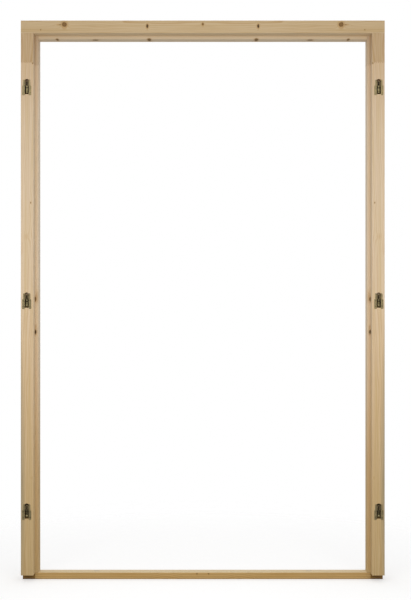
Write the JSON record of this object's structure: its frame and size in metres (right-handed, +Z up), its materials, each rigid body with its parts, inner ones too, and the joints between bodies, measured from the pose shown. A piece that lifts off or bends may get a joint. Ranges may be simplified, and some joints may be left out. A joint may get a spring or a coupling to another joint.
{
  "type": "door frame",
  "caption": "Rebated softwood frame for a pair of doors, with a set-back threshold and sprung snap-in hinge sockets let into its jambs.",
  "frame": {"origin": "on the floor, at the middle of the frame's width and of its depth", "axes": "+X across the frame to its right seen from the hinge side, +Y from the hinge side through the frame to the stop side, +Z up"},
  "size_m": [1.354, 0.092, 2.09],
  "materials": {
    "pine": "planed, unfinished knotty pine",
    "threshold_timber": "planed and oiled, a little darker than the frame",
    "zinc_sheet": "stamped sheet steel, zinc plated with a yellowish passivation",
    "cast_steel": "dark cast block",
    "steel_pin": "turned, bright zinc",
    "latch_steel": "pressed steel, light zinc",
    "spring_steel": "drawn spring wire",
    "zinc_screw": "zinc plated, yellow passivated"
  },
  "bodies": {
    "frame": {"head": "pine", "left_jamb": "pine", "right_jamb": "pine", "threshold": "threshold_timber", "corner_screws": "zinc_screw", "threshold_screws": "zinc_screw", "upper_left_socket_bracket": "zinc_sheet", "upper_left_hook_block": "cast_steel", "upper_left_hook_pin": "steel_pin", "upper_left_latch_pin": "steel_pin", "upper_left_latch_spring": "spring_steel", "upper_left_bracket_screws": "zinc_screw", "upper_right_socket_bracket": "zinc_sheet", "upper_right_hook_block": "cast_steel", "upper_right_hook_pin": "steel_pin", "upper_right_latch_pin": "steel_pin", "upper_right_latch_spring": "spring_steel", "upper_right_bracket_screws": "zinc_screw", "middle_left_socket_bracket": "zinc_sheet", "middle_left_hook_block": "cast_steel", "middle_left_hook_pin": "steel_pin", "middle_left_latch_pin": "steel_pin", "middle_left_latch_spring": "spring_steel", "middle_left_bracket_screws": "zinc_screw", "middle_right_socket_bracket": "zinc_sheet", "middle_right_hook_block": "cast_steel", "middle_right_hook_pin": "steel_pin", "middle_right_latch_pin": "steel_pin", "middle_right_latch_spring": "spring_steel", "middle_right_bracket_screws": "zinc_screw", "lower_left_socket_bracket": "zinc_sheet", "lower_left_hook_block": "cast_steel", "lower_left_hook_pin": "steel_pin", "lower_left_latch_pin": "steel_pin", "lower_left_latch_spring": "spring_steel", "lower_left_bracket_screws": "zinc_screw", "lower_right_socket_bracket": "zinc_sheet", "lower_right_hook_block": "cast_steel", "lower_right_hook_pin": "steel_pin", "lower_right_latch_pin": "steel_pin", "lower_right_latch_spring": "spring_steel", "lower_right_bracket_screws": "zinc_screw"},
    "upper_left_latch_body": {"upper_left_latch": "latch_steel"},
    "upper_right_latch_body": {"upper_right_latch": "latch_steel"},
    "middle_left_latch_body": {"middle_left_latch": "latch_steel"},
    "middle_right_latch_body": {"middle_right_latch": "latch_steel"},
    "lower_left_latch_body": {"lower_left_latch": "latch_steel"},
    "lower_right_latch_body": {"lower_right_latch": "latch_steel"}
  },
  "joints": [
    {"name": "upper_left_latch_hinge", "type": "hinge", "parent": "frame", "child": "upper_left_latch_body", "pos_m": [-0.655, -0.0375, 1.842], "axis": [1, 0, 0], "range_deg": [0, 15], "stiffness_Nm_per_rad": 0.04, "springref_deg": -17.19, "deforming": ["upper_left_latch_spring"]},
    {"name": "upper_right_latch_hinge", "type": "hinge", "parent": "frame", "child": "upper_right_latch_body", "pos_m": [0.655, -0.0375, 1.842], "axis": [1, 0, 0], "range_deg": [0, 15], "stiffness_Nm_per_rad": 0.04, "springref_deg": -17.19, "deforming": ["upper_right_latch_spring"]},
    {"name": "middle_left_latch_hinge", "type": "hinge", "parent": "frame", "child": "middle_left_latch_body", "pos_m": [-0.655, -0.0375, 1.047], "axis": [1, 0, 0], "range_deg": [0, 15], "stiffness_Nm_per_rad": 0.04, "springref_deg": -17.19, "deforming": ["middle_left_latch_spring"]},
    {"name": "middle_right_latch_hinge", "type": "hinge", "parent": "frame", "child": "middle_right_latch_body", "pos_m": [0.655, -0.0375, 1.047], "axis": [1, 0, 0], "range_deg": [0, 15], "stiffness_Nm_per_rad": 0.04, "springref_deg": -17.19, "deforming": ["middle_right_latch_spring"]},
    {"name": "lower_left_latch_hinge", "type": "hinge", "parent": "frame", "child": "lower_left_latch_body", "pos_m": [-0.655, -0.0375, 0.262], "axis": [1, 0, 0], "range_deg": [0, 15], "stiffness_Nm_per_rad": 0.04, "springref_deg": -17.19, "deforming": ["lower_left_latch_spring"]},
    {"name": "lower_right_latch_hinge", "type": "hinge", "parent": "frame", "child": "lower_right_latch_body", "pos_m": [0.655, -0.0375, 0.262], "axis": [1, 0, 0], "range_deg": [0, 15], "stiffness_Nm_per_rad": 0.04, "springref_deg": -17.19, "deforming": ["lower_right_latch_spring"]}
  ]
}
